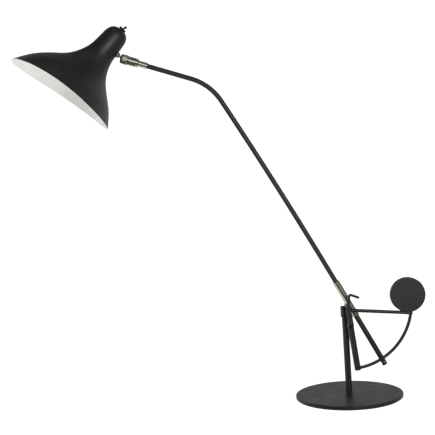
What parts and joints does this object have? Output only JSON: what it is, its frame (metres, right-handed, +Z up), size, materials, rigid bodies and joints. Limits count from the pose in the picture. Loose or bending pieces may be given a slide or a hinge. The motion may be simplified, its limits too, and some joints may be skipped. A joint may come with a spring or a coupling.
{
  "type": "desk lamp",
  "caption": "Counterbalanced architect desk lamp: disc base, thin post, arc-guided balance arm with round counterweight, ball joint and flared spun shade.",
  "frame": {"origin": "centre of the underside of the round base, on the plane it rests on", "axes": "+Z up along the post; +X from the post towards the counterweight, so the shade is on the -X side; -Y is the front, the side the arm and sector frame are on"},
  "size_m": [0.8038, 0.2595, 0.7874],
  "materials": {
    "black_enamel": "satin black stove enamel on steel",
    "shade_enamel": "spun aluminium, satin black outside and warm white inside",
    "satin_nickel": "satin nickel plate",
    "plain_steel": "zinc plated steel",
    "lamp_cap_metal": "nickelled brass screw cap",
    "felt": "black felt",
    "black_rubber": "soft black rubber",
    "nylon": "natural nylon",
    "fibre": "vulcanised fibre",
    "phenolic": "black phenolic",
    "opal_glass": "opal white glass"
  },
  "bodies": {
    "base": {"base_pad": "felt", "base_disc": "black_enamel", "base_washer": "plain_steel", "base_bolt": "plain_steel", "post_foot_plug": "plain_steel", "post_tube": "black_enamel"},
    "frame": {"swivel_collar": "black_enamel", "collar_screw": "plain_steel", "yoke": "black_enamel", "downtube": "black_enamel", "downtube_plug": "black_enamel", "arc_rod": "black_enamel", "top_bar": "black_enamel", "counterweight": "black_enamel", "counterweight_screw": "black_enamel", "pivot_washer_front": "fibre", "pivot_washer_rear": "fibre"},
    "clamp": {"clamp_nut": "black_enamel", "clamp_lever": "black_enamel"},
    "arm": {"arm_hub": "plain_steel", "pivot_clip": "plain_steel", "pivot_sleeve": "satin_nickel", "arm_tube": "black_enamel", "lower_rod": "black_enamel", "arm_end_ferrule": "satin_nickel", "cable_grommet": "black_rubber", "arm_lead": "black_rubber", "joint_ferrule": "satin_nickel", "joint_socket": "satin_nickel", "socket_cap": "satin_nickel", "joint_spring": "plain_steel"},
    "ball_seat": {"ball_seat": "nylon"},
    "ball": {"ball_stem": "satin_nickel"},
    "shade": {"shade_shell": "shade_enamel", "stem_collar": "satin_nickel", "stem_nut": "satin_nickel", "stem_washer": "plain_steel", "holder_bracket": "plain_steel", "lampholder": "phenolic", "bulb_cap": "lamp_cap_metal", "bulb_glass": "opal_glass", "switch_body": "phenolic", "switch_nut": "black_enamel"},
    "switch": {"switch_lever": "black_enamel"}
  },
  "joints": [
    {"name": "frame_swivel", "type": "hinge", "parent": "base", "child": "frame", "pos_m": [0, 0, 0.186], "axis": [0, 0, 1], "range_deg": [-170, 170]},
    {"name": "clamp_turn", "type": "hinge", "parent": "frame", "child": "clamp", "pos_m": [0.0025, -0.021, 0.194], "axis": [0, 1, 0], "range_deg": [-60, 25]},
    {"name": "arm_tilt", "type": "hinge", "parent": "frame", "child": "arm", "pos_m": [0.0025, -0.021, 0.194], "axis": [0, -1, 0], "range_deg": [-8, 38]},
    {"name": "head_roll", "type": "hinge", "parent": "arm", "child": "ball_seat", "pos_m": [-0.4205, -0.021, 0.7194], "axis": [-0.9426, 0, 0.3338], "range_deg": [-60, 60]},
    {"name": "head_tilt", "type": "hinge", "parent": "ball_seat", "child": "ball", "pos_m": [-0.4205, -0.021, 0.7194], "axis": [0, 1, 0], "range_deg": [-46, 9]},
    {"name": "shade_swivel", "type": "hinge", "parent": "ball", "child": "shade", "pos_m": [-0.4205, -0.021, 0.7194], "axis": [-0.7859, 0, 0.6184], "range_deg": [-90, 90]},
    {"name": "switch_toggle", "type": "hinge", "parent": "shade", "child": "switch", "pos_m": [-0.42004, -0.01608, 0.78073], "axis": [-0.0625, 0.9949, -0.0794], "range_deg": [-30, 0]}
  ]
}
